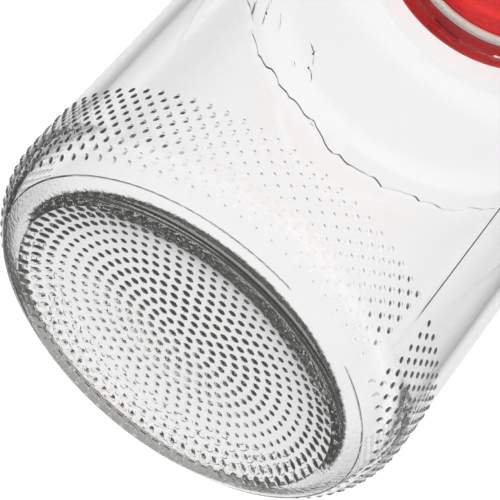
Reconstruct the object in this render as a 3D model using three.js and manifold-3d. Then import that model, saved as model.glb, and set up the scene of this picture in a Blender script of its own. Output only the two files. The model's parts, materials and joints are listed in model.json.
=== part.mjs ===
// Glass storage jar with a twist-off metal lid: a blown glass body, a pressed sheet-metal lid
// with lugs that ride under inclined ridges on the neck, and the sealing ring between them.
// Millimetres, +Z up, origin on the axis at the plane that the jar stands on.
import * as THREE from "three";
import { mergeVertices } from "three/addons/utils/BufferGeometryUtils.js";
import Module from "manifold-3d";

// Glass body
const BODY_DIAMETER = 110;
const BODY_WALL = 3.3;
const PUSH_UP = 4.4;
const PUSH_UP_FLATNESS = 5;
const FLOOR_SETBACK = 11.8;
const FLOOR_FLATNESS = 3.7;
const FLOOR_EDGE_SLOPE_DEG = 31.5;
const MOAT_GLASS = 3.7;
const MOAT_ROUND = 2;
const MOAT_EXIT_DEG = 24;
const HEEL_RADIUS = 16;
const HEEL_SETBACK = 11;
const BEARING_WIDTH = 1.2;
const WALL_TOP = 108;
const SHOULDER_RISE = 37;
const SHOULDER_EASE = 22;
const NECK_EASE = 17;

// Neck finish
const MOUTH_DIAMETER = 57.2;
const NECK_WALL = 3.3;
const NECK_RISE = 10;
const RIM_ROUND = 0.9;
const RIM_LAND = 1.6;

// Inclined ridges on the neck and the lugs that ride under them
const STARTS = 4;
const RIDGE_DEPTH = 1.3;
const RIDGE_HEIGHT = 1;
const RIDGE_BREAK_DEG = 6;
const RIDGE_RUNOUT = 0.16;
const LUG_HEIGHT = 1;
const LUG_SPAN_DEG = 16;
const RIDING_GAP = 0.3;
const ROOT_SINK = 0.25;

// Pressed lid
const SHEET = 0.5;
const SKIRT_GAP = 0.4;
const SKIRT_MARGIN = 0.4;
const SHOULDER_ROUND = 1.6;
const CURL_RADIUS = 0.9;
const PANEL_INSET = 2.6;
const PANEL_DROP = 0.8;
const PANEL_STEP = 1.6;
const BUTTON_DIAMETER = 20;
const BUTTON_RISE = 0.6;
const BUTTON_STEP = 2.5;

// Sealing ring
const SEAL_HEIGHT = 1.2;
const SEAL_OVERHANG = 1;
const SEAL_ROUND = 0.35;
const SEAT_GAP = 0.3;

// Facets round the axis
const FACETS = 56;

// Sizes worked out from those above
const bodyRadius = BODY_DIAMETER / 2;
const innerRadius = bodyRadius - BODY_WALL;
const mouthRadius = MOUTH_DIAMETER / 2;
const neckRadius = mouthRadius + NECK_WALL;
const neckRoot = WALL_TOP + SHOULDER_RISE;
const rimTop = neckRoot + NECK_RISE;
const ridgeSpanDeg = 360 / STARTS - RIDGE_BREAK_DEG;
const lead = STARTS * (RIDGE_HEIGHT + LUG_HEIGHT + 2 * RIDING_GAP);
const ridgeRise = (lead * ridgeSpanDeg) / 360;
const ridgeUnderside = rimTop - RIM_LAND - RIDGE_HEIGHT - ridgeRise / 2;
const lugBottom = ridgeUnderside - RIDING_GAP - LUG_HEIGHT;
const skirtInner = neckRadius + RIDGE_DEPTH + SKIRT_GAP;
const skirtOuter = skirtInner + SHEET;
const skirtBottom = lugBottom - (lead * LUG_SPAN_DEG) / 720 - SKIRT_MARGIN;
const sealBottom = rimTop + SEAT_GAP;
const channelUnderside = sealBottom + SEAL_HEIGHT + SEAT_GAP;
const sealInner = mouthRadius - SEAL_OVERHANG;
const panelRadius = mouthRadius - PANEL_INSET;

const wasm = await Module();
wasm.setup();

// A point of a turned profile: distance from the axis, height.
function at(radius, height) {
  return new THREE.Vector2(radius, height);
}

// Points of a round stretch, from one angle to another in degrees.
function arc(centreRadius, centreHeight, radius, fromDeg, toDeg, steps) {
  const from = THREE.MathUtils.degToRad(fromDeg);
  const to = THREE.MathUtils.degToRad(toDeg);
  const clockwise = toDeg < fromDeg;
  const curve = new THREE.EllipseCurve(
    centreRadius, centreHeight, radius, radius, from, to, clockwise,
  );
  return curve.getPoints(steps);
}

// Points of a dome from the axis out to a radius, falling by a height. A higher flatness keeps
// the middle level for longer and drops more steeply at the edge, so the points crowd there.
function domeOut(radius, crown, fall, flatness, steps) {
  return Array.from({ length: steps + 1 }, (_, i) => {
    const share = Math.sin((i / steps) * (Math.PI / 2));
    return at(radius * share, crown - fall * share ** flatness);
  });
}

// The S-shaped shoulder between the straight wall and the neck, from the bottom up.
function shoulder(wallRadius, neckWallRadius, drop, steps) {
  return new THREE.CubicBezierCurve(
    at(wallRadius, WALL_TOP - drop),
    at(wallRadius, WALL_TOP - drop + SHOULDER_EASE),
    at(neckWallRadius, neckRoot - drop - NECK_EASE),
    at(neckWallRadius, neckRoot - drop),
  ).getPoints(steps);
}

// A profile in the radius and height plane turned about +Z.
function turned(profile) {
  return new THREE.LatheGeometry(profile, FACETS).rotateX(Math.PI / 2);
}

// A closed geometry as a solid that can be joined to another.
function toSolid(geometry) {
  const bare = geometry.clone();
  bare.deleteAttribute("normal");
  bare.deleteAttribute("uv");
  const merged = mergeVertices(bare);
  return new wasm.Manifold(
    new wasm.Mesh({
      numProp: 3,
      vertProperties: new Float32Array(merged.attributes.position.array),
      triVerts: new Uint32Array(merged.index.array),
    }),
  );
}

// A joined solid as a geometry again.
function toGeometry(solid) {
  const mesh = solid.getMesh();
  const geometry = new THREE.BufferGeometry();
  geometry.setAttribute("position", new THREE.BufferAttribute(mesh.vertProperties, 3));
  geometry.setIndex(new THREE.BufferAttribute(mesh.triVerts, 1));
  geometry.computeVertexNormals();
  return geometry;
}

// A bar that climbs round the axis with the closure's lead. Its outline is drawn as radius
// and height at the middle of the bar, and what stands past taperFrom fades out at both ends.
function climbingBar(outline, spanDeg, middleDeg, steps, taperFrom, runout) {
  const bar = new THREE.ExtrudeGeometry(new THREE.Shape(outline), {
    depth: 1,
    steps,
    bevelEnabled: false,
  });
  const position = bar.getAttribute("position");
  for (let i = 0; i < position.count; i += 1) {
    const along = position.getZ(i);
    const turn = THREE.MathUtils.degToRad((0.5 - along) * spanDeg);
    const angle = turn + THREE.MathUtils.degToRad(middleDeg);
    const fade = runout > 0 ? Math.min(1, Math.min(along, 1 - along) / runout + 0.1) : 1;
    const drawn = position.getX(i);
    const radius = drawn > taperFrom ? taperFrom + (drawn - taperFrom) * fade : drawn;
    const height = position.getY(i) + (lead * turn) / (2 * Math.PI);
    position.setXYZ(i, radius * Math.cos(angle), radius * Math.sin(angle), height);
  }
  return bar;
}

// A base solid with one climbing bar for each start, spaced evenly round the axis.
function withBars(base, makeBar) {
  const step = 360 / STARTS;
  let solid = toSolid(base);
  for (let start = 0; start < STARTS; start += 1) {
    solid = solid.add(toSolid(makeBar((start + 0.5) * step)));
  }
  return toGeometry(solid);
}

// The blown glass body: push-up base, bearing ring, heel, wall, shoulder, neck and rim, and
// the same shapes back down the inside, where a shallow moat runs round the crowned floor.
function jarBody() {
  const heelCentre = bodyRadius - HEEL_RADIUS;
  const heelReach = Math.min(HEEL_RADIUS, HEEL_SETBACK);
  const heelStartDeg = -THREE.MathUtils.radToDeg(Math.acos(1 - heelReach / HEEL_RADIUS));
  const heelHeight = -HEEL_RADIUS * Math.sin(THREE.MathUtils.degToRad(heelStartDeg));
  const bearingInner = bodyRadius - heelReach - BEARING_WIDTH;
  const floorRadius = bodyRadius - FLOOR_SETBACK;
  const floorSlope = THREE.MathUtils.degToRad(FLOOR_EDGE_SLOPE_DEG);
  const floorFall = (floorRadius * Math.tan(floorSlope)) / FLOOR_FLATNESS;
  const moatCentre = floorRadius + MOAT_ROUND * Math.sin(floorSlope);
  const moatHeight = MOAT_GLASS + MOAT_ROUND;
  const floorTop = moatHeight - MOAT_ROUND * Math.cos(floorSlope) + floorFall;
  const moatExit = THREE.MathUtils.degToRad(MOAT_EXIT_DEG);
  const exitReach = innerRadius - moatCentre - MOAT_ROUND * Math.sin(moatExit);
  const innerHeelRadius = exitReach / (1 - Math.sin(moatExit));
  const innerHeelCentre = innerRadius - innerHeelRadius;
  const innerHeelHeight = moatHeight + (innerHeelRadius - MOAT_ROUND) * Math.cos(moatExit);
  const moatStartDeg = MOAT_EXIT_DEG - 90;
  const moatEndDeg = -90 - FLOOR_EDGE_SLOPE_DEG;
  const innerDrop = BODY_WALL / 2;
  const rimOuter = neckRadius - RIM_ROUND;
  const rimInner = mouthRadius + RIM_ROUND;
  const profile = [
    ...domeOut(bearingInner, PUSH_UP, PUSH_UP, PUSH_UP_FLATNESS, 7),
    ...arc(heelCentre, heelHeight, HEEL_RADIUS, heelStartDeg, 0, 7),
    ...shoulder(bodyRadius, neckRadius, 0, 9),
    ...arc(rimOuter, rimTop - RIM_ROUND, RIM_ROUND, 0, 90, 3),
    ...arc(rimInner, rimTop - RIM_ROUND, RIM_ROUND, 90, 180, 3),
    ...shoulder(innerRadius, mouthRadius, innerDrop, 9).reverse(),
    ...arc(innerHeelCentre, innerHeelHeight, innerHeelRadius, 0, moatStartDeg, 5),
    ...arc(moatCentre, moatHeight, MOAT_ROUND, moatStartDeg, moatEndDeg, 4).slice(1),
    ...domeOut(floorRadius, floorTop, floorFall, FLOOR_FLATNESS, 6).reverse().slice(1),
  ];
  const crest = neckRadius + RIDGE_DEPTH;
  const root = neckRadius - ROOT_SINK;
  const ridge = [
    at(root, ridgeUnderside),
    at(crest, ridgeUnderside),
    at(crest, ridgeUnderside + RIDGE_HEIGHT / 2),
    at(root, ridgeUnderside + RIDGE_HEIGHT),
  ];
  return withBars(turned(profile), (middle) =>
    climbingBar(ridge, ridgeSpanDeg, middle, 18, neckRadius, RIDGE_RUNOUT),
  );
}

// The pressed lid: raised button, stepped panel, channel over the rim, skirt and rolled edge,
// then the underside of the same sheet back to the axis, with a lug for each ridge.
function lidShell() {
  const channelTop = channelUnderside + SHEET;
  const panelTop = channelTop - PANEL_DROP;
  const buttonRadius = BUTTON_DIAMETER / 2;
  const roundCentre = skirtOuter - SHOULDER_ROUND;
  const curlHeight = skirtBottom + CURL_RADIUS;
  const top = [
    at(0, panelTop + BUTTON_RISE),
    at(buttonRadius, panelTop + BUTTON_RISE),
    at(buttonRadius + BUTTON_STEP, panelTop),
    at(panelRadius - PANEL_STEP, panelTop),
    at(panelRadius, channelTop),
    ...arc(roundCentre, channelTop - SHOULDER_ROUND, SHOULDER_ROUND, 90, 0, 4),
    at(skirtOuter, curlHeight + CURL_RADIUS),
    ...arc(skirtOuter, curlHeight, CURL_RADIUS, 60, -90, 6),
    at(skirtInner, skirtBottom),
  ];
  const innerRound = SHOULDER_ROUND - SHEET;
  const underside = [
    ...arc(roundCentre, channelUnderside - innerRound, innerRound, 0, 90, 4),
    at(panelRadius, channelUnderside),
    at(panelRadius - PANEL_STEP, panelTop - SHEET),
    at(buttonRadius + BUTTON_STEP, panelTop - SHEET),
    at(buttonRadius, panelTop + BUTTON_RISE - SHEET),
    at(0, panelTop + BUTTON_RISE - SHEET),
  ];
  const lug = [
    at(neckRadius + RIDING_GAP, lugBottom),
    at(skirtInner + ROOT_SINK, lugBottom),
    at(skirtInner + ROOT_SINK, lugBottom + LUG_HEIGHT),
    at(neckRadius + RIDING_GAP, lugBottom + LUG_HEIGHT),
  ];
  const profile = [...top, ...underside].reverse();
  return withBars(turned(profile), (middle) =>
    climbingBar(lug, LUG_SPAN_DEG, middle, 4, skirtOuter, 0),
  );
}

// The ring of sealing compound that fills the lid's channel and beds on the glass rim.
function sealingRing() {
  const outer = skirtInner - SEAT_GAP;
  const top = sealBottom + SEAL_HEIGHT;
  const corner = Math.min(SHOULDER_ROUND - SHEET - SEAT_GAP, SEAL_HEIGHT - 1.1 * SEAL_ROUND);
  const profile = [
    ...arc(sealInner + SEAL_ROUND, sealBottom + SEAL_ROUND, SEAL_ROUND, 180, 270, 2),
    ...arc(outer - SEAL_ROUND, sealBottom + SEAL_ROUND, SEAL_ROUND, 270, 360, 2),
    ...arc(outer - corner, top - corner, corner, 0, 90, 3),
    ...arc(sealInner + SEAL_ROUND, top - SEAL_ROUND, SEAL_ROUND, 90, 180, 2),
  ];
  profile.push(profile[0].clone());
  return turned(profile);
}

// A named piece with its own finish.
function piece(name, geometry, finish) {
  const mesh = new THREE.Mesh(geometry, new THREE.MeshStandardMaterial(finish));
  mesh.name = name;
  return mesh;
}

const clearGlass = { color: 0xeef3f1, roughness: 0.04, metalness: 0, transparent: true, opacity: 0.35 };
const redLacquer = { color: 0xb8202a, roughness: 0.28, metalness: 0.1 };
const creamCompound = { color: 0xece9e0, roughness: 0.6, metalness: 0 };

const jar = new THREE.Group();
jar.add(piece("jar_body", jarBody(), clearGlass));
jar.add(piece("lid_shell", lidShell(), redLacquer));
jar.add(piece("sealing_ring", sealingRing(), creamCompound));

export default jar;
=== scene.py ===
# Looks of the glass storage jar: stippled clear glass, red twist-off lid and cream sealing ring.
import json
import math
import bpy
from mathutils import Matrix, Vector

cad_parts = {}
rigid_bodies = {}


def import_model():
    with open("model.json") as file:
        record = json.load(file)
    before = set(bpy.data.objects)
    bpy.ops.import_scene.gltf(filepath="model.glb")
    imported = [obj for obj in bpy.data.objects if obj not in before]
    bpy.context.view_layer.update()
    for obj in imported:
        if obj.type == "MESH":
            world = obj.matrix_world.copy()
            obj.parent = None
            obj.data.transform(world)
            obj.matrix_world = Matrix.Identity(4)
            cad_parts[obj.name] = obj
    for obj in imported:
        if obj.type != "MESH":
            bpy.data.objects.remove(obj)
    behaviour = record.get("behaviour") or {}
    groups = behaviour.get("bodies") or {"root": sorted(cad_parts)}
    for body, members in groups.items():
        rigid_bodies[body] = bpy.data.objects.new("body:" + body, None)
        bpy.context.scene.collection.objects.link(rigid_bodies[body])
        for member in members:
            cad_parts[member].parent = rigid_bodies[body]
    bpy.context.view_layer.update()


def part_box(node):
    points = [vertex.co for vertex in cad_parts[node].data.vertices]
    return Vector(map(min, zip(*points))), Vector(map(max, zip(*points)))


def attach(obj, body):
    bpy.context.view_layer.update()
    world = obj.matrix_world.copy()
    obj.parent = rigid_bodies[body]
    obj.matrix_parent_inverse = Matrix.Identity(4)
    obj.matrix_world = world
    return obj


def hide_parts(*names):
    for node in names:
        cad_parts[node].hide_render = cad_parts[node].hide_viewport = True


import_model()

MM = 0.001
AXIS = (0.0, 0.0, 1.0)
WELD = 0.004 * MM
QUARTER_TURN = math.radians(90)

# Glass body: the frame gives the outer sizes, the rest repeats the part's own dimensions
jar_low, jar_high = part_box("jar_body")
BODY_RADIUS = jar_high.x
RIM_TOP = jar_high.z
BODY_WALL = 3.3 * MM
INNER_RADIUS = BODY_RADIUS - BODY_WALL
PUSH_UP = 4.4 * MM
PUSH_UP_FLATNESS = 5
INSIDE_FLOOR_SETBACK = 11.8 * MM
INSIDE_FLOOR_RADIUS = BODY_RADIUS - INSIDE_FLOOR_SETBACK
INSIDE_FLOOR_FLATNESS = 3.7
INSIDE_FLOOR_SLOPE = 31.5
MOAT_GLASS = 3.7 * MM
MOAT_ROUND = 2.0 * MM
MOAT_EXIT = 24
HEEL_RADIUS = 16.0 * MM
HEEL_SETBACK = 11.0 * MM
BEARING_WIDTH = 1.2 * MM
WALL_TOP = 108.0 * MM
SHOULDER_RISE = 37.0 * MM
SHOULDER_EASE = 22.0 * MM
NECK_EASE = 17.0 * MM
MOUTH_RADIUS = 28.6 * MM
NECK_RADIUS = 31.9 * MM
RIM_ROUND = 0.9 * MM

# Where the glass meets itself, worked out from those sizes
BEARING_OUTER = BODY_RADIUS - HEEL_SETBACK
BEARING_INNER = BEARING_OUTER - BEARING_WIDTH
HEEL_CENTRE = BODY_RADIUS - HEEL_RADIUS
HEEL_START = -math.degrees(math.acos(1 - HEEL_SETBACK / HEEL_RADIUS))
HEEL_HEIGHT = -HEEL_RADIUS * math.sin(math.radians(HEEL_START))

# How finely the glass is cut, round the axis and along its profile
GLASS_TURNS = 192
GLASS_SMOOTH = math.radians(25)
BASE_STEPS = 22
HEEL_STEPS = (6, 16)
WALL_STEPS = 8
SHOULDER_STEPS = 22
INNER_SHOULDER_STEPS = 30
RIM_STEPS = 5
MOAT_STEPS = 12
FLOOR_STEPS = 20

# Moulding marks
PARTING_HEIGHT = 2.8 * MM
PARTING_RISE = 0.18 * MM
PARTING_HALF_DEG = 0.8
PARTING_FAINT = (-30, -2)
PARTING_FAINT_SHARE = 0.2
SEAM_HALF_WIDTH = 0.22 * MM
SEAM_RISE = 0.14 * MM
FAR_SEAM_RISE = 0.04 * MM
SEAM_FOOT = 10.0 * MM
SEAM_FADE = 14.0 * MM

# Stipple: foot radius and height of the dots, and how their rows and rings are spaced
BASE_DOT = (1.15 * MM, 0.52 * MM)
HEEL_DOT = (0.9 * MM, 0.36 * MM)
DOT_SINK = 0.45 * MM
DOT_SIDES = 8
DOT_STEPS = ((0.80, 0.28), (0.42, 0.80))
HEEL_TOP_ROW = 25.8 * MM
HEEL_ROW_STEP = 2.0 * MM
HEEL_ROWS = 11
HEEL_COLUMNS = 80
SEAM_BLANK_DEG = 3.2
BASE_OUTER_RING = 39.0 * MM
BASE_RING_STEP = 3.05 * MM
BASE_RING_SIZES = (1.02, 0.95, 0.76, 0.78, 0.86, 0.92, 0.97, 1.0, 1.02, 1.02, 1.0, 1.0, 1.0)
OUTER_RING_LENGTH = 1.25
DASH_RING = 41.7 * MM
DASH_COUNT = 72
DASH_LENGTH = 1.3

# Settle line where the shoulder starts, on the inside: a bead of (depth, height) shares
CREASE_HEIGHT = 110.3 * MM
CREASE_HALF_WIDTH = 0.8 * MM
CREASE_CLEAR = 1.5 * CREASE_HALF_WIDTH
CREASE_DEPTH = 0.45 * MM
CREASE_BEAD = ((0, -1), (0.75, -0.35), (1, 0), (0.55, 0.45), (0, 1))

# How that line wanders: waves round the axis, their size and phase
CREASE_REACH = 6.0 * MM
CREASE_WAVES = (
    (5, 0.9 * MM, 0.4),
    (9, 0.7 * MM, 2.1),
    (17, 0.5 * MM, 1.0),
    (31, 0.4 * MM, 3.3),
    (53, 0.3 * MM, 0.7),
    (79, 0.2 * MM, 1.9),
)

# Short settle streaks above that line: ends as degrees round the axis and height
STREAK_DOT = (0.55 * MM, 0.48 * MM)
STREAK_SEAT_STEPS = 60
STREAKS = (
    ((197.2, 113.3 * MM), (192.7, 111.2 * MM)),
    ((194.2, 117.6 * MM), (190.2, 115.6 * MM)),
    ((190.6, 115.7 * MM), (186.7, 113.3 * MM)),
    ((188.2, 119.2 * MM), (181.7, 117.2 * MM)),
    ((172.2, 122.6 * MM), (168.2, 122.2 * MM)),
    ((168.3, 122.3 * MM), (163.7, 119.9 * MM)),
    ((163.9, 119.8 * MM), (160.2, 118.4 * MM)),
    ((169.7, 117.5 * MM), (168.4, 117.2 * MM)),
    ((150.9, 112.1 * MM), (149.0, 111.7 * MM)),
)

# Neck ridges and the lugs that ride under them
lid_low, lid_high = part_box("lid_shell")
STARTS = 4
LEAD = 10.4 * MM
BAR_ROUND = 0.3 * MM
BAR_ROUND_STEPS = 3
RIDGE_SPAN_DEG = 84
RIDGE_STEPS = 40
RIDGE_UNDERSIDE = 151.187 * MM
RIDGE_HEIGHT = 1.0 * MM
RIDGE_DEPTH = 1.3 * MM
RIDGE_RUNOUT = 0.16
RIDGE_END_SHARE = 0.1
ROOT_SINK = 0.25 * MM
LUG_SPAN_DEG = 16
LUG_STEPS = 8
LUG_DROP = 1.3 * MM
LUG_BOTTOM = RIDGE_UNDERSIDE - LUG_DROP
LUG_HEIGHT = 1.0 * MM
LUG_GAP = 0.3 * MM

# Pressed lid and its sealing ring
LID_TURNS = 168
LID_SMOOTH = math.radians(30)
LID_TOP = lid_high.z
SHEET = 0.5 * MM
CURL_RADIUS = 0.9 * MM
SKIRT_OUTER = lid_high.x - CURL_RADIUS
SKIRT_INNER = SKIRT_OUTER - SHEET
SKIRT_BOTTOM = lid_low.z
LID_ROUND = 1.6 * MM
PANEL_DROP = 0.8 * MM
PANEL_TOP = LID_TOP - PANEL_DROP
PANEL_RADIUS = 26.0 * MM
PANEL_FOOT = 24.4 * MM
BUTTON_RISE = 0.6 * MM
BUTTON_TOP = PANEL_TOP + BUTTON_RISE
BUTTON_RADIUS = 10.0 * MM
BUTTON_FOOT = 12.5 * MM
PRESSED_ROUND = 0.7 * MM
PRESSED_STEPS = 4
seal_low, seal_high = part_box("sealing_ring")
SEAL_INNER = 27.6 * MM
SEAL_OUTER = 33.3 * MM
SEAL_ROUND = 0.35 * MM
SEAL_CORNER = 0.8 * MM

# The photo's camera: fitted angles, distance and lens
CAMERA_RISE = math.radians(33.08)
CAMERA_ROLL = math.radians(39.94)
CAMERA_TURN = math.radians(48.2)
CAMERA_PLACE = Vector((-0.9, -431.6, -246.0)) * MM
CAMERA_LENS = 156.5
CAMERA_SENSOR = 36

# White field behind the jar: edges in degrees to the side and up from its middle, and levels
FIELD_TURN = CAMERA_TURN + QUARTER_TURN
FIELD_LEVEL = 0.98
SURROUND_LEVEL = 0.06
FIELD_FAR_LEFT = (-90, -70)
FIELD_NEAR_LEFT = (-44, -26)
FIELD_RIGHT = (34, 52)
FIELD_FOOT = (12, 25)
FOOT_STEP = (0, 9)
FOOT_DROP = math.radians(14)
FIELD_TOP = (58, 75)

# What else is bright round it: the room in front, the ground, and the right-hand side
FRONT_RIGHT = (75, 95)
FRONT_LEFT = (95, 115)
FRONT_FOOT = (-25, -10)
FRONT_LOST_IN_MIRROR = 0.92
GROUND_TOP = (-22, -8)
GROUND_LEVEL = 0.36
LOW_RIGHT = (32, 50)
LOW_RIGHT_TOP = (10, 22)
LOW_RIGHT_LEVEL = 0.8
FAR_RIGHT = (26, 40)
FAR_RIGHT_LEVEL = 0.15
ROOM_LEVEL = 0.7
ROOM_THROUGH_GLASS = 1.6

# Floor: how it fades out, and the painted shade under the jar that light reflected in the glass sees, a
# dim emission in place of the jar's shadow
FLOOR_RADIUS = 1.6
FLOOR_SIDES = 96
FLOOR_FADE = (0.9, FLOOR_RADIUS)
PAINTED_SHADE_REACH = (0.085, 0.18)
PAINTED_SHADE_RADIUS = (40 * MM, 54 * MM)
PAINTED_SHADE_LEVELS = (0.09, 0.12)

# Lamps: place, size and power
KEY_LAMP = ((-0.9, -1.0, 1.6), 1.2, 13)
FILL_LAMP = ((1.4, 0.3, 1.2), 1.4, 6)
LAMP_AIM = Vector((0, 0, 0.08))

# Uneven skin of the glass under the heel
PEEL_TOP = (2.4 * MM, 2.9 * MM)
PEEL_RADIUS = (42 * MM, 44 * MM)
PEEL_SCALE = 900
PEEL_DEPTH = 0.12 * MM

# Painted glow in the heel, an emission on the glass in place of trapped light: which reflections count,
# where it lies and its levels
TRAPPED_AFTER = 2.5
GLOW_TURN = FIELD_TURN - math.radians(32)
GLOW_SIDE = (-5 * MM, 30 * MM)
GLOW_HEIGHT = (4 * MM, 8 * MM)
GLOW_RIGHT = (25 * MM, 45 * MM)
GLOW_LEVELS = (0.35, 0.1)
GLOW_LEAST = 0.07

# Painted sheen streaks on the lid: how fine they are and how far they stretch round it
SHEEN_STREAK_SCALE = 260
SHEEN_STREAK_STRETCH = 0.2


def select_only(piece):
    bpy.ops.object.select_all(action="DESELECT")
    piece.select_set(True)
    bpy.context.view_layer.objects.active = piece


def select_none(piece, kind="EDGE"):
    """Leaves nothing of a mesh selected, ready to pick vertices or edges by their place."""
    select_only(piece)
    bpy.ops.object.mode_set(mode="EDIT")
    bpy.ops.mesh.select_mode(type=kind)
    bpy.ops.mesh.select_all(action="DESELECT")
    bpy.ops.object.mode_set(mode="OBJECT")


def arc(radius, height, curve, start, end, steps):
    """Points of a round stretch of a profile, angles in degrees."""
    angles = [math.radians(start + (end - start) * i / steps) for i in range(steps + 1)]
    return [(radius + curve * math.cos(a), height + curve * math.sin(a)) for a in angles]


def dome(radius, crown, fall, flatness, steps):
    """Points of a shallow dome from the axis out to its edge, crowding where it falls away."""
    shares = [math.sin(math.pi / 2 * i / steps) for i in range(steps + 1)]
    return [(radius * s, crown - fall * s**flatness) for s in shares]


def straight(start, end, steps):
    """Points from one end of a straight stretch to the other, without the first."""
    return [tuple(a + (b - a) * i / steps for a, b in zip(start, end)) for i in range(1, steps + 1)]


def blended(weights, points):
    """The weighted mean of some (radius, height) points."""
    return tuple(sum(w * p[k] for w, p in zip(weights, points)) for k in (0, 1))


def shoulder(wall, neck, drop, steps):
    """Points of the S-shaped shoulder from the wall up to the neck."""
    low = WALL_TOP - drop
    high = WALL_TOP + SHOULDER_RISE - drop
    ends = ((wall, low), (wall, low + SHOULDER_EASE), (neck, high - NECK_EASE), (neck, high))
    points = []
    for i in range(steps + 1):
        t = i / steps
        weights = ((1 - t) ** 3, 3 * t * (1 - t) ** 2, 3 * t * t * (1 - t), t**3)
        points.append(blended(weights, ends))
    return points


def softened(points, reach, steps):
    """The same line of points with every corner rounded."""
    soft = [points[0]]
    for before, corner, after in zip(points, points[1:], points[2:]):
        ends = []
        for side in (before, after):
            length = math.dist(side, corner)
            share = min(reach, length / 2) / length
            ends.append(tuple(c + (e - c) * share for c, e in zip(corner, side)))
        for i in range(steps + 1):
            t = i / steps
            weights = ((1 - t) ** 2, 2 * t * (1 - t), t * t)
            soft.append(blended(weights, (ends[0], corner, ends[1])))
    return soft + [points[-1]]


def drawn(name, points):
    """A line of (radius, height) points, extruded vertex by vertex and left in edit mode."""
    bpy.ops.object.select_all(action="DESELECT")
    bpy.ops.mesh.primitive_plane_add(size=MM)
    piece = bpy.context.object
    piece.name = name
    bpy.ops.object.mode_set(mode="EDIT")
    bpy.ops.mesh.select_mode(type="VERT")
    bpy.ops.mesh.merge(type="CENTER")
    bpy.ops.transform.translate(value=(points[0][0], 0, points[0][1]))
    for (r0, z0), (r1, z1) in zip(points, points[1:]):
        bpy.ops.mesh.extrude_region_move(TRANSFORM_OT_translate={"value": (r1 - r0, 0, z1 - z0)})
    bpy.ops.mesh.select_all(action="SELECT")
    return piece


def turned(name, profile, steps):
    """A profile turned about the axis as one closed surface."""
    piece = drawn(name, profile)
    bpy.ops.mesh.spin(steps=steps, angle=math.tau, center=(0, 0, 0), axis=AXIS)
    bpy.ops.mesh.select_all(action="SELECT")
    bpy.ops.mesh.remove_doubles(threshold=WELD)
    bpy.ops.mesh.normals_make_consistent(inside=False)
    bpy.ops.object.mode_set(mode="OBJECT")
    return piece


def join(pieces):
    bpy.ops.object.select_all(action="DESELECT")
    for piece in pieces:
        piece.select_set(True)
    bpy.context.view_layer.objects.active = pieces[0]
    bpy.ops.object.join()
    return pieces[0]


def fuse(body, added):
    """Joins another closed piece to a body as one surface."""
    select_only(body)
    union = body.modifiers.new("fused", "BOOLEAN")
    union.operation = "UNION"
    union.solver = "MANIFOLD"
    union.object = added
    bpy.ops.object.modifier_apply(modifier=union.name)
    bpy.data.objects.remove(added)


def ring_of(piece, count):
    """Copies of a placed piece round the axis, evenly spaced."""
    bpy.ops.object.empty_add(location=(0, 0, 0), rotation=(0, 0, math.tau / count))
    turn = bpy.context.object
    select_only(piece)
    array = piece.modifiers.new("round", "ARRAY")
    array.count = count
    array.use_relative_offset = False
    array.use_object_offset = True
    array.offset_object = turn
    bpy.ops.object.modifier_apply(modifier=array.name)
    bpy.data.objects.remove(turn)
    return piece


def heel_with_parting_line():
    """The heel's arc with the thin raised line where the bottom plate met the mould."""
    line = -math.degrees(math.asin((HEEL_HEIGHT - PARTING_HEIGHT) / HEEL_RADIUS))
    steps_below, steps_above = HEEL_STEPS
    below = arc(HEEL_CENTRE, HEEL_HEIGHT, HEEL_RADIUS, HEEL_START, line - PARTING_HALF_DEG, steps_below)
    crest = arc(HEEL_CENTRE, HEEL_HEIGHT, HEEL_RADIUS + PARTING_RISE, line, line, 1)[:1]
    above = arc(HEEL_CENTRE, HEEL_HEIGHT, HEEL_RADIUS, line + PARTING_HALF_DEG, 0, steps_above)
    return below + crest + above


def inner_shoulder():
    """The shoulder's inside with the settle line as a small bead, from the bottom up."""
    points = shoulder(INNER_RADIUS, MOUTH_RADIUS, BODY_WALL / 2, INNER_SHOULDER_STEPS)
    low = [p for p in points if p[1] < CREASE_HEIGHT - CREASE_CLEAR]
    high = [p for p in points if p[1] > CREASE_HEIGHT + CREASE_CLEAR]
    share = (CREASE_HEIGHT - low[-1][1]) / (high[0][1] - low[-1][1])
    radius = low[-1][0] + share * (high[0][0] - low[-1][0])
    bead = [(radius - d * CREASE_DEPTH, CREASE_HEIGHT + h * CREASE_HALF_WIDTH) for d, h in CREASE_BEAD]
    return low + bead + high


def inside_heel():
    """The inside of the heel from the wall down into the moat, then the crowned floor to the axis."""
    slope, leave = math.radians(INSIDE_FLOOR_SLOPE), math.radians(MOAT_EXIT)
    fall = INSIDE_FLOOR_RADIUS * math.tan(slope) / INSIDE_FLOOR_FLATNESS
    moat_centre = INSIDE_FLOOR_RADIUS + MOAT_ROUND * math.sin(slope)
    moat_height = MOAT_GLASS + MOAT_ROUND
    top = moat_height - MOAT_ROUND * math.cos(slope) + fall
    reach = INNER_RADIUS - moat_centre - MOAT_ROUND * math.sin(leave)
    radius = reach / (1 - math.sin(leave))
    height = moat_height + (radius - MOAT_ROUND) * math.cos(leave)
    exit_angle, floor_angle = MOAT_EXIT - 90, -90 - INSIDE_FLOOR_SLOPE
    points = arc(INNER_RADIUS - radius, height, radius, 0, exit_angle, MOAT_STEPS)
    points += arc(moat_centre, moat_height, MOAT_ROUND, exit_angle, floor_angle, MOAT_STEPS)[1:]
    return points + dome(INSIDE_FLOOR_RADIUS, top, fall, INSIDE_FLOOR_FLATNESS, FLOOR_STEPS)[::-1][1:]


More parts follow.
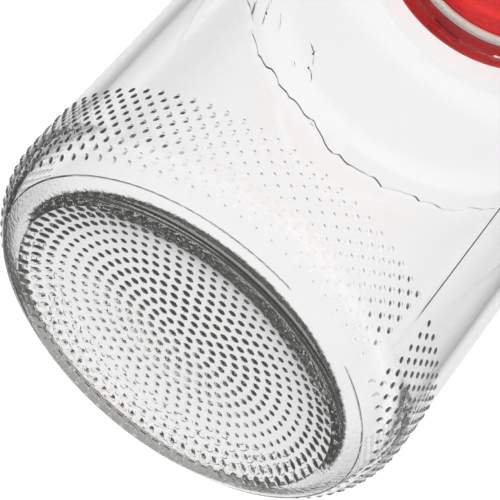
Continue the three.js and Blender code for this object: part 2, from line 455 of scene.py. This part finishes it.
def glass_profile():
    outer = dome(BEARING_INNER, PUSH_UP, PUSH_UP, PUSH_UP_FLATNESS, BASE_STEPS)
    outer += heel_with_parting_line()
    outer += straight(outer[-1], (BODY_RADIUS, WALL_TOP), WALL_STEPS)
    outer += shoulder(BODY_RADIUS, NECK_RADIUS, 0, SHOULDER_STEPS)[1:]
    rim = arc(NECK_RADIUS - RIM_ROUND, RIM_TOP - RIM_ROUND, RIM_ROUND, 0, 90, RIM_STEPS)
    rim += arc(MOUTH_RADIUS + RIM_ROUND, RIM_TOP - RIM_ROUND, RIM_ROUND, 90, 180, RIM_STEPS)
    inner = inner_shoulder()[::-1]
    heel = inside_heel()
    inner += straight(inner[-1], heel[0], WALL_STEPS)
    return outer + rim + inner + heel[1:]


def raise_seams(jar):
    """Thin vertical mould seams at +X and -X: the seam edges are bevelled and their middle raised."""
    outer = BODY_RADIUS - BODY_WALL / 2
    mesh = jar.data
    select_none(jar)
    for edge in mesh.edges:
        ends = [mesh.vertices[i].co for i in edge.vertices]
        on_seam = all(abs(p.y) < WELD and SEAM_FOOT < p.z < WALL_TOP + WELD for p in ends)
        edge.select = on_seam and all(abs(p.x) > outer for p in ends)
    bpy.ops.object.mode_set(mode="EDIT")
    bpy.ops.mesh.bevel(offset=SEAM_HALF_WIDTH, segments=2, affect="EDGES")
    bpy.ops.object.mode_set(mode="OBJECT")
    for vertex in mesh.vertices:
        p = vertex.co
        if abs(p.y) < WELD and SEAM_FOOT < p.z < WALL_TOP and abs(p.x) > outer:
            share = min(1.0, (p.z - SEAM_FOOT) / SEAM_FADE, (WALL_TOP - p.z) / SEAM_FADE)
            p.x += share * (SEAM_RISE if p.x > 0 else -FAR_SEAM_RISE)


def fade_parting(jar):
    """The parting line almost closes up on a stretch beside a mould seam."""
    start, end = PARTING_FAINT
    middle, half = (start + end) / 2, (end - start) / 2
    for vertex in jar.data.vertices:
        p = vertex.co
        radius = math.hypot(p.x, p.y)
        out = Vector((radius - HEEL_CENTRE, p.z - HEEL_HEIGHT))
        proud = out.length - HEEL_RADIUS
        if p.z > HEEL_HEIGHT or out.x < 0 or proud < PARTING_RISE / 2:
            continue
        if abs(math.degrees(math.atan2(p.y, p.x)) - middle) < half:
            share = (HEEL_RADIUS + PARTING_FAINT_SHARE * proud) / out.length
            scale = (HEEL_CENTRE + out.x * share) / radius
            vertex.co = (p.x * scale, p.y * scale, HEEL_HEIGHT + out.y * share)


def settle_inside(jar):
    """The settle line wanders up and down round the inside of the glass."""
    for vertex in jar.data.vertices:
        p = vertex.co
        gap = p.z - CREASE_HEIGHT
        outside = math.hypot(p.x, p.y) > INNER_RADIUS + BODY_WALL / 4
        if outside or abs(gap) > 3 * CREASE_REACH:
            continue
        turn = math.atan2(p.y, p.x)
        wander = sum(size * math.sin(count * turn + phase) for count, size, phase in CREASE_WAVES)
        p.z += wander * math.exp(-((gap / CREASE_REACH) ** 2))


def dot(size, length):
    """One moulded dot, standing on the origin: a round foot drawn in step by step to a blunt top."""
    foot, tall = size
    bpy.ops.object.select_all(action="DESELECT")
    bpy.ops.mesh.primitive_circle_add(vertices=DOT_SIDES, radius=foot, fill_type="NGON")
    bpy.ops.object.mode_set(mode="EDIT")
    bpy.ops.mesh.select_mode(type="FACE")
    bpy.ops.transform.translate(value=(0, 0, -DOT_SINK))
    bpy.ops.mesh.extrude_region_move(TRANSFORM_OT_translate={"value": (0, 0, DOT_SINK)})
    share, height = 1.0, 0.0
    for next_share, next_height in DOT_STEPS:
        rise = (next_height - height) * tall
        bpy.ops.mesh.extrude_region_move(TRANSFORM_OT_translate={"value": (0, 0, rise)})
        bpy.ops.transform.resize(value=(next_share / share, next_share / share, 1))
        share, height = next_share, next_height
    bpy.ops.mesh.extrude_region_move(TRANSFORM_OT_translate={"value": (0, 0, (1 - height) * tall)})
    bpy.ops.mesh.merge(type="CENTER")
    bpy.ops.mesh.select_all(action="SELECT")
    bpy.ops.mesh.normals_make_consistent(inside=False)
    bpy.ops.object.mode_set(mode="OBJECT")
    piece = bpy.context.object
    piece.scale = (length, 1, 1)
    bpy.ops.object.transform_apply(location=False, rotation=False, scale=True)
    return piece


def dot_ring(size, radius, height, tilt, count, start, length=1.0):
    """One ring of dots: a dot is laid on the glass, turned to its place, then copied round."""
    ring = dot(size, length)
    ring.rotation_euler = (0, tilt, 0)
    ring.location = (radius, 0, height)
    bpy.ops.object.transform_apply(location=True, rotation=True, scale=True)
    ring.rotation_euler = (0, 0, start)
    bpy.ops.object.transform_apply(location=True, rotation=True, scale=True)
    return ring_of(ring, count)


def clear_seams(dots):
    """Dots on the heel are left out beside the mould seams."""
    blank = math.radians(SEAM_BLANK_DEG)
    select_none(dots, "VERT")
    for vertex in dots.data.vertices:
        p = vertex.co
        vertex.select = abs(math.atan2(p.y, abs(p.x))) < blank
    bpy.ops.object.mode_set(mode="EDIT")
    bpy.ops.mesh.select_linked()
    bpy.ops.mesh.delete(type="VERT")
    bpy.ops.object.mode_set(mode="OBJECT")


def heel_dots():
    rows = []
    for row in range(HEEL_ROWS):
        height = HEEL_TOP_ROW - row * HEEL_ROW_STEP
        lean = math.asin(max(0.0, HEEL_HEIGHT - height) / HEEL_RADIUS)
        radius = HEEL_CENTRE + HEEL_RADIUS * math.cos(lean)
        start = math.pi / HEEL_COLUMNS * (row % 2)
        rows.append(dot_ring(HEEL_DOT, radius, height, math.pi / 2 + lean, HEEL_COLUMNS, start))
    dots = join(rows)
    clear_seams(dots)
    return dots


def base_ring(radius, count, share_of_dot, length):
    size = tuple(share_of_dot * side for side in BASE_DOT)
    share = radius / BEARING_INNER
    height = PUSH_UP * (1 - share**PUSH_UP_FLATNESS)
    slope = -PUSH_UP * PUSH_UP_FLATNESS / BEARING_INNER * share ** (PUSH_UP_FLATNESS - 1)
    return dot_ring(size, radius, height, math.pi - math.atan(slope), count, 0, length)


def base_dots():
    rings = [base_ring(DASH_RING, DASH_COUNT, 1.0, DASH_LENGTH)]
    for index, size in enumerate(BASE_RING_SIZES):
        radius = BASE_OUTER_RING - index * BASE_RING_STEP
        length = 1.0 if index else OUTER_RING_LENGTH
        rings.append(base_ring(radius, round(math.tau * radius / BASE_RING_STEP), size, length))
    return join(rings)


def shoulder_spot(turn, height):
    """A place on the inside of the shoulder and the way that it faces there."""
    points = shoulder(INNER_RADIUS, MOUTH_RADIUS, BODY_WALL / 2, STREAK_SEAT_STEPS)
    low, high = next((p, q) for p, q in zip(points, points[1:]) if q[1] > height)
    radius = low[0] + (height - low[1]) / (high[1] - low[1]) * (high[0] - low[0])
    out = facing(math.radians(turn))
    normal = out * (low[1] - high[1]) + Vector(AXIS) * (high[0] - low[0])
    return out * radius + Vector(AXIS) * height, normal.normalized()


def shoulder_streaks():
    """Short raised streaks on the inside of the shoulder, each one long narrow dot."""
    streaks = []
    for ends in STREAKS:
        (start, normal), (end, _) = (shoulder_spot(*spot) for spot in ends)
        way = end - start
        streak = dot(STREAK_DOT, way.length / (2 * STREAK_DOT[0]) + 1)
        across = normal.cross(way).normalized()
        way.normalize()
        lie = Matrix((way, across, way.cross(across))).transposed().to_4x4()
        streak.matrix_world = Matrix.Translation((start + end) / 2) @ lie
        bpy.ops.object.transform_apply(location=True, rotation=True, scale=True)
        streaks.append(streak)
    return join(streaks)


def facing(turn):
    """The level direction at some angle round the axis."""
    return Vector((math.cos(turn), math.sin(turn), 0))


def climbing_bars(corners, span_deg, steps, run_out=None):
    """Bars with the closure's lead, one for each start: a closed section is swept along a screw."""
    section = softened(corners, BAR_ROUND, BAR_ROUND_STEPS)
    start = [(radius, height - LEAD * span_deg / 720) for radius, height in section + section[:1]]
    bar = drawn("bar", start)
    bpy.ops.mesh.remove_doubles(threshold=WELD)
    bpy.ops.object.mode_set(mode="OBJECT")
    sweep = bar.modifiers.new("climb", "SCREW")
    sweep.angle = math.radians(span_deg)
    sweep.screw_offset = LEAD * span_deg / 360
    sweep.steps = steps
    sweep.render_steps = steps
    bpy.ops.object.modifier_apply(modifier=sweep.name)
    if run_out:
        fade_ends(bar, span_deg, run_out)
    bpy.ops.object.mode_set(mode="EDIT")
    bpy.ops.mesh.select_all(action="SELECT")
    bpy.ops.mesh.fill_holes(sides=0)
    bpy.ops.mesh.select_all(action="SELECT")
    bpy.ops.mesh.normals_make_consistent(inside=False)
    bpy.ops.object.mode_set(mode="OBJECT")
    bar.rotation_euler = (0, 0, math.radians(180 / STARTS - span_deg / 2))
    bpy.ops.object.transform_apply(location=False, rotation=True, scale=False)
    return ring_of(bar, STARTS)


def fade_ends(bar, span_deg, run_out):
    """What stands out past the neck sinks back into it towards both ends of a bar."""
    for vertex in bar.data.vertices:
        p = vertex.co
        radius = math.hypot(p.x, p.y)
        if radius < NECK_RADIUS:
            continue
        place = math.degrees(math.atan2(p.y, p.x)) / span_deg
        fade = min(1.0, min(place, 1 - place) / run_out + RIDGE_END_SHARE)
        share = (NECK_RADIUS + (radius - NECK_RADIUS) * fade) / radius
        p.x *= share
        p.y *= share


def neck_ridges():
    low, high = RIDGE_UNDERSIDE, RIDGE_UNDERSIDE + RIDGE_HEIGHT
    root, crest = NECK_RADIUS - ROOT_SINK, NECK_RADIUS + RIDGE_DEPTH
    corners = [(root, low), (crest, low), (crest, (low + high) / 2), (root, high)]
    return climbing_bars(corners, RIDGE_SPAN_DEG, RIDGE_STEPS, RIDGE_RUNOUT)


def lid_lugs():
    low, high = LUG_BOTTOM, LUG_BOTTOM + LUG_HEIGHT
    inner, outer = NECK_RADIUS + LUG_GAP, SKIRT_INNER + ROOT_SINK
    corners = [(outer, low), (inner, low), (inner, high), (outer, high)]
    return climbing_bars(corners, LUG_SPAN_DEG, LUG_STEPS)


def lid_profile():
    middle = SKIRT_OUTER - LID_ROUND
    curl = SKIRT_BOTTOM + CURL_RADIUS
    pressed = [
        (0, BUTTON_TOP), (BUTTON_RADIUS, BUTTON_TOP), (BUTTON_FOOT, PANEL_TOP),
        (PANEL_FOOT, PANEL_TOP), (PANEL_RADIUS, LID_TOP), (middle, LID_TOP),
    ]
    top = softened(pressed, PRESSED_ROUND, PRESSED_STEPS)[:-1]
    top += arc(middle, LID_TOP - LID_ROUND, LID_ROUND, 90, 0, 8)
    top += arc(SKIRT_OUTER, curl, CURL_RADIUS, 80, -90, 12)
    inner = LID_ROUND - SHEET
    under = [(SKIRT_INNER, SKIRT_BOTTOM)]
    under += arc(middle, LID_TOP - SHEET - inner, inner, 0, 90, 6)
    below = [(radius, height - SHEET) for radius, height in pressed[::-1]]
    return top + under + softened(below, PRESSED_ROUND, PRESSED_STEPS)[1:]


def add(tree, kind):
    return tree.nodes.new("ShaderNode" + kind)


def put(tree, value, socket):
    """Sets a number on a socket, or links another socket to it."""
    if isinstance(value, (int, float)):
        socket.default_value = value
    else:
        tree.links.new(value, socket)


def calculate(tree, operation, first, second, clamp=False):
    """One step of arithmetic on two numbers or sockets."""
    step = add(tree, "Math")
    step.operation = operation
    step.use_clamp = clamp
    put(tree, first, step.inputs[0])
    put(tree, second, step.inputs[1])
    return step.outputs["Value"]


def times(tree, value, *others):
    for other in others:
        value = calculate(tree, "MULTIPLY", value, other)
    return value


def greatest(tree, value, *others):
    for other in others:
        value = calculate(tree, "MAXIMUM", value, other)
    return value


def one_less(tree, value):
    return calculate(tree, "SUBTRACT", 1.0, value)


def span(tree, value, ends, levels=(0.0, 1.0)):
    """A level that goes smoothly from one to the other while a value goes between two ends."""
    blend = add(tree, "MapRange")
    blend.interpolation_type = "SMOOTHSTEP"
    for socket, number in zip(("From Min", "From Max", "To Min", "To Max"), (*ends, *levels)):
        blend.inputs[socket].default_value = number
    tree.links.new(value, blend.inputs["Value"])
    return blend.outputs["Result"]


def sweep_of(tree, angle, degrees):
    """The same for an angle between two ends in degrees."""
    return span(tree, angle, tuple(math.radians(end) for end in degrees))


def along(tree, way):
    """How far a place on the object lies in some direction."""
    step = add(tree, "VectorMath")
    step.operation = "DOT_PRODUCT"
    step.inputs[1].default_value = way
    tree.links.new(add(tree, "TexCoord").outputs["Object"], step.inputs[0])
    return step.outputs["Value"]


def from_axis(tree):
    """How far a place on the object lies from the axis."""
    flat = add(tree, "VectorMath")
    flat.operation = "MULTIPLY"
    flat.inputs[1].default_value = (1, 1, 0)
    length = add(tree, "VectorMath")
    length.operation = "LENGTH"
    tree.links.new(add(tree, "TexCoord").outputs["Object"], flat.inputs[0])
    tree.links.new(flat.outputs["Vector"], length.inputs[0])
    return length.outputs["Value"]


def noise(tree, scale, detail):
    """Noise on object coordinates, its scale in features per metre."""
    texture = add(tree, "TexNoise")
    texture.inputs["Scale"].default_value = scale
    texture.inputs["Detail"].default_value = detail
    tree.links.new(add(tree, "TexCoord").outputs["Object"], texture.inputs["Vector"])
    return texture.outputs["Fac"]


def ramp(tree, value, ends, start, end):
    """A colour or grey that goes from one to the other as the value goes between two ends."""
    blend = add(tree, "ValToRGB")
    for element, place, colour in zip(blend.color_ramp.elements, ends, (start, end)):
        element.position = place
        element.color = (*colour, 1)
    tree.links.new(value, blend.inputs["Fac"])
    return blend.outputs["Color"]


def bump(tree, value, distance, strength, shader):
    rough = add(tree, "Bump")
    rough.inputs["Distance"].default_value = distance
    rough.inputs["Strength"].default_value = strength
    tree.links.new(value, rough.inputs["Height"])
    tree.links.new(rough.outputs["Normal"], shader.inputs["Normal"])


def mixed(tree, share, first, second):
    blend = add(tree, "MixShader")
    tree.links.new(share, blend.inputs["Fac"])
    tree.links.new(first, blend.inputs[1])
    tree.links.new(second, blend.inputs[2])
    return blend.outputs["Shader"]


def node_material(name):
    material = bpy.data.materials.new(name)
    material.use_nodes = True
    tree = material.node_tree
    return material, tree, tree.nodes["Principled BSDF"]


def painted_sheen_streaks(tree):
    """Painted sheen: lighter and darker streaks that run round the lid in its red."""
    round_lid = add(tree, "CombineXYZ")
    tree.links.new(from_axis(tree), round_lid.inputs["X"])
    tree.links.new(times(tree, along(tree, (0.7, 0.7, 0)), SHEEN_STREAK_STRETCH), round_lid.inputs["Y"])
    marks = add(tree, "TexNoise")
    marks.noise_dimensions = "2D"
    marks.inputs["Scale"].default_value = SHEEN_STREAK_SCALE
    marks.inputs["Detail"].default_value = 3
    tree.links.new(round_lid.outputs["Vector"], marks.inputs["Vector"])
    return marks.outputs["Fac"]


def red_lacquer():
    material, tree, shader = node_material("red_lacquer")
    # The lid's red, lighter and darker in streaks that run round the lid: painted sheen
    red = ramp(tree, painted_sheen_streaks(tree), (0.3, 0.7), (0.60, 0.008, 0.010), (0.90, 0.016, 0.014))
    tree.links.new(red, shader.inputs["Base Color"])
    gloss = ramp(tree, noise(tree, 140, 3), (0.25, 0.75), (0.2,) * 3, (0.34,) * 3)
    tree.links.new(gloss, shader.inputs["Roughness"])
    shader.inputs["Specular IOR Level"].default_value = 0.12
    shader.inputs["Coat Weight"].default_value = 0.1
    shader.inputs["Coat Roughness"].default_value = 0.12
    bump(tree, noise(tree, 1500, 2), 0.03 * MM, 0.25, shader)
    return material


def cream_compound():
    material, tree, shader = node_material("sealing_compound")
    cream = ramp(tree, noise(tree, 400, 4), (0.3, 0.7), (0.80, 0.77, 0.70), (0.88, 0.86, 0.80))
    tree.links.new(cream, shader.inputs["Base Color"])
    shader.inputs["Roughness"].default_value = 0.55
    bump(tree, noise(tree, 2500, 3), 0.04 * MM, 0.3, shader)
    return material


def painted_heel_glow(tree, height):
    """Painted glow: an emission on the glass that stands in for light that runs out of bounces in the
    heel, strongest towards the white field.
    """
    lit = span(tree, along(tree, facing(GLOW_TURN)), GLOW_SIDE)
    right = span(tree, along(tree, facing(FIELD_TURN - QUARTER_TURN)), GLOW_RIGHT, GLOW_LEVELS)
    share = times(tree, lit, span(tree, height, GLOW_HEIGHT), right)
    glow = add(tree, "Emission")
    glow.inputs["Color"].default_value = (1, 1, 0.96, 1)
    tree.links.new(calculate(tree, "ADD", share, GLOW_LEAST), glow.inputs["Strength"])
    return glow.outputs["Emission"]


def clear_glass():
    """Clear glass: a painted glow in the heel stands in for trapped light, and shadows stay light."""
    material, tree, shader = node_material("clear_glass")
    shader.inputs["Base Color"].default_value = (1, 1, 1, 1)
    shader.inputs["Roughness"].default_value = 0.0
    shader.inputs["IOR"].default_value = 1.52
    shader.inputs["Transmission Weight"].default_value = 1.0
    shader.inputs["Specular IOR Level"].default_value = 0.25
    height = along(tree, AXIS)
    peel = times(tree, span(tree, height, PEEL_TOP, (1.0, 0.0)), span(tree, from_axis(tree), PEEL_RADIUS))
    bump(tree, times(tree, noise(tree, PEEL_SCALE, 2), peel), PEEL_DEPTH, 1.0, shader)
    volume = add(tree, "VolumeAbsorption")
    volume.inputs["Color"].default_value = (0.80, 0.82, 0.78, 1)
    volume.inputs["Density"].default_value = 9.0
    passing = add(tree, "BsdfTransparent")
    passing.inputs["Color"].default_value = (0.93, 0.94, 0.93, 1)
    path = add(tree, "LightPath").outputs
    surface = mixed(tree, path["Is Shadow Ray"], shader.outputs["BSDF"], passing.outputs["BSDF"])
    # Rays that have reflected more than twice in the glass show the painted glow
    trapped = calculate(tree, "GREATER_THAN", path["Glossy Depth"], TRAPPED_AFTER)
    output = tree.nodes["Material Output"].inputs
    tree.links.new(mixed(tree, trapped, surface, painted_heel_glow(tree, height)), output["Surface"])
    tree.links.new(volume.outputs["Volume"], output["Volume"])
    return material


def glass_jar():
    jar = turned("jar_glass", glass_profile(), GLASS_TURNS)
    raise_seams(jar)
    fade_parting(jar)
    settle_inside(jar)
    fuse(jar, join([heel_dots(), base_dots()]))
    fuse(jar, shoulder_streaks())
    fuse(jar, neck_ridges())
    select_only(jar)
    bpy.ops.object.shade_smooth_by_angle(angle=GLASS_SMOOTH)
    jar.data.materials.clear()
    jar.data.materials.append(clear_glass())
    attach(jar, "jar")
    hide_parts("jar_body")


def lid():
    shell = turned("lid_red", lid_profile(), LID_TURNS)
    fuse(shell, lid_lugs())
    select_only(shell)
    bpy.ops.object.shade_smooth_by_angle(angle=LID_SMOOTH)
    shell.data.materials.clear()
    shell.data.materials.append(red_lacquer())
    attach(shell, "lid")
    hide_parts("lid_shell")


def sealing_ring():
    low, high = seal_low.z, seal_high.z
    profile = arc(SEAL_INNER + SEAL_ROUND, low + SEAL_ROUND, SEAL_ROUND, 180, 270, 5)
    profile += arc(SEAL_OUTER - SEAL_ROUND, low + SEAL_ROUND, SEAL_ROUND, 270, 360, 5)
    profile += arc(SEAL_OUTER - SEAL_CORNER, high - SEAL_CORNER, SEAL_CORNER, 0, 90, 6)
    profile += arc(SEAL_INNER + SEAL_ROUND, high - SEAL_ROUND, SEAL_ROUND, 90, 180, 5)
    ring = turned("seal_cream", profile + profile[:1], LID_TURNS)
    select_only(ring)
    bpy.ops.object.shade_smooth_by_angle(angle=LID_SMOOTH)
    ring.data.materials.append(cream_compound())
    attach(ring, "seal")
    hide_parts("sealing_ring")


def pale_floor():
    """A pale floor that fades out far away and shows only from above, so the view from below is free;
    under the jar it carries a painted shade for light reflected in the glass.
    """
    material, tree, shader = node_material("pale_floor")
    pale = ramp(tree, noise(tree, 30, 3), (0.3, 0.7), (0.80, 0.80, 0.79), (0.84, 0.84, 0.83))
    tree.links.new(pale, shader.inputs["Base Color"])
    shader.inputs["Roughness"].default_value = 0.9
    shader.inputs["Specular IOR Level"].default_value = 0.2
    path = add(tree, "LightPath").outputs
    radius = from_axis(tree)
    mirrored = calculate(tree, "MINIMUM", path["Glossy Depth"], 1.0)
    mirrored = calculate(tree, "SUBTRACT", mirrored, path["Diffuse Depth"], clamp=True)
    # Painted shade: light reflected in the glass finds a dim emission on the floor under the jar, in place
    # of the jar's shadow
    shade = add(tree, "Emission")
    shade.inputs["Color"].default_value = (1, 1, 0.96, 1)
    tree.links.new(span(tree, radius, PAINTED_SHADE_RADIUS, PAINTED_SHADE_LEVELS), shade.inputs["Strength"])
    under = times(tree, mirrored, span(tree, radius, PAINTED_SHADE_REACH, (1.0, 0.0)))
    shown = mixed(tree, under, shader.outputs["BSDF"], shade.outputs["Emission"])
    from_below = add(tree, "NewGeometry").outputs["Backfacing"]
    unseen = greatest(tree, from_below, path["Diffuse Depth"])
    clear = calculate(tree, "MAXIMUM", span(tree, radius, FLOOR_FADE), unseen, clamp=True)
    surface = mixed(tree, clear, shown, add(tree, "BsdfTransparent").outputs["BSDF"])
    tree.links.new(surface, tree.nodes["Material Output"].inputs["Surface"])
    return material


def floor():
    bpy.ops.object.select_all(action="DESELECT")
    bpy.ops.mesh.primitive_circle_add(vertices=FLOOR_SIDES, radius=FLOOR_RADIUS, fill_type="NGON")
    piece = bpy.context.object
    piece.name = "floor"
    piece.data.materials.append(pale_floor())


def softbox(name, place, size, power):
    data = bpy.data.lights.new(name, "AREA")
    data.shape = "DISK"
    data.size = size
    data.energy = power
    lamp = bpy.data.objects.new(name, data)
    bpy.context.scene.collection.objects.link(lamp)
    lamp.location = place
    lamp.rotation_euler = (LAMP_AIM - Vector(place)).to_track_quat("-Z", "Y").to_euler()
    lamp.visible_camera = False
    lamp.visible_glossy = False
    lamp.visible_transmission = False


def camera():
    data = bpy.data.cameras.new("camera")
    data.lens = CAMERA_LENS
    data.sensor_width = CAMERA_SENSOR
    rig = bpy.data.objects.new("camera", data)
    bpy.context.scene.collection.objects.link(rig)
    rise, roll = CAMERA_RISE, CAMERA_ROLL
    right = Vector((math.cos(roll), -math.sin(roll) * math.sin(rise), math.sin(roll) * math.cos(rise)))
    above = Vector((-math.sin(roll), -math.cos(roll) * math.sin(rise), math.cos(roll) * math.cos(rise)))
    back = Vector((0, -math.cos(rise), -math.sin(rise)))
    look = Matrix((right, above, back)).transposed().to_4x4()
    rig.matrix_world = Matrix.Rotation(CAMERA_TURN, 4, "Z") @ Matrix.Translation(CAMERA_PLACE) @ look
    bpy.context.scene.camera = rig


def field_level(tree, side, rise, mirrored):
    """How bright each way is, by its angles to the side and up from the middle of the field."""
    far_left = times(tree, sweep_of(tree, side, FIELD_FAR_LEFT), 0.5)
    near_left = times(tree, sweep_of(tree, side, FIELD_NEAR_LEFT), 0.5)
    left = calculate(tree, "ADD", far_left, near_left)
    right = one_less(tree, sweep_of(tree, side, FIELD_RIGHT))
    lowered = calculate(tree, "ADD", rise, times(tree, sweep_of(tree, side, FOOT_STEP), FOOT_DROP))
    foot = sweep_of(tree, lowered, FIELD_FOOT)
    top = one_less(tree, sweep_of(tree, rise, FIELD_TOP))
    field = times(tree, left, right, foot, top)
    other_side = sweep_of(tree, times(tree, side, -1.0), FRONT_LEFT)
    front = calculate(tree, "ADD", sweep_of(tree, side, FRONT_RIGHT), other_side)
    kept = one_less(tree, times(tree, mirrored, FRONT_LOST_IN_MIRROR))
    front = times(tree, front, sweep_of(tree, rise, FRONT_FOOT), kept)
    ground = times(tree, one_less(tree, sweep_of(tree, rise, GROUND_TOP)), GROUND_LEVEL)
    low = one_less(tree, sweep_of(tree, rise, LOW_RIGHT_TOP))
    low_right = times(tree, low, sweep_of(tree, side, LOW_RIGHT), LOW_RIGHT_LEVEL)
    far_right = times(tree, sweep_of(tree, side, FAR_RIGHT), FAR_RIGHT_LEVEL)
    level = greatest(tree, field, front, ground, low_right, far_right)
    return calculate(tree, "ADD", times(tree, level, FIELD_LEVEL), SURROUND_LEVEL)


def studio():
    """A white field behind the jar in darker surroundings: bounced light sees a plain white room."""
    world = bpy.data.worlds.new("studio")
    bpy.context.scene.world = world
    world.use_nodes = True
    tree = world.node_tree
    tree.nodes.clear()
    turn = add(tree, "Mapping")
    turn.inputs["Rotation"].default_value = (0, 0, QUARTER_TURN - FIELD_TURN)
    tree.links.new(add(tree, "TexCoord").outputs["Generated"], turn.inputs["Vector"])
    split = add(tree, "SeparateXYZ")
    tree.links.new(turn.outputs["Vector"], split.inputs["Vector"])
    side = calculate(tree, "ARCTAN2", split.outputs["X"], split.outputs["Y"])
    rise = calculate(tree, "ARCSINE", split.outputs["Z"], 0.0)
    path = add(tree, "LightPath").outputs
    mirrored = calculate(tree, "MINIMUM", path["Glossy Depth"], 1.0)
    bounced = calculate(tree, "MINIMUM", path["Diffuse Depth"], 1.0)
    direct = times(tree, one_less(tree, bounced), field_level(tree, side, rise, mirrored))
    room = calculate(tree, "ADD", times(tree, path["Is Transmission Ray"], ROOM_THROUGH_GLASS), ROOM_LEVEL)
    seen = calculate(tree, "ADD", times(tree, bounced, room), direct)
    back = add(tree, "Background")
    back.inputs["Color"].default_value = (1, 1, 1, 1)
    tree.links.new(greatest(tree, path["Is Camera Ray"], seen), back.inputs["Strength"])
    tree.links.new(back.outputs["Background"], add(tree, "OutputWorld").inputs["Surface"])


glass_jar()
lid()
sealing_ring()
floor()
softbox("key", *KEY_LAMP)
softbox("fill", *FILL_LAMP)
camera()
studio()
bpy.context.scene.view_settings.view_transform = "Standard"
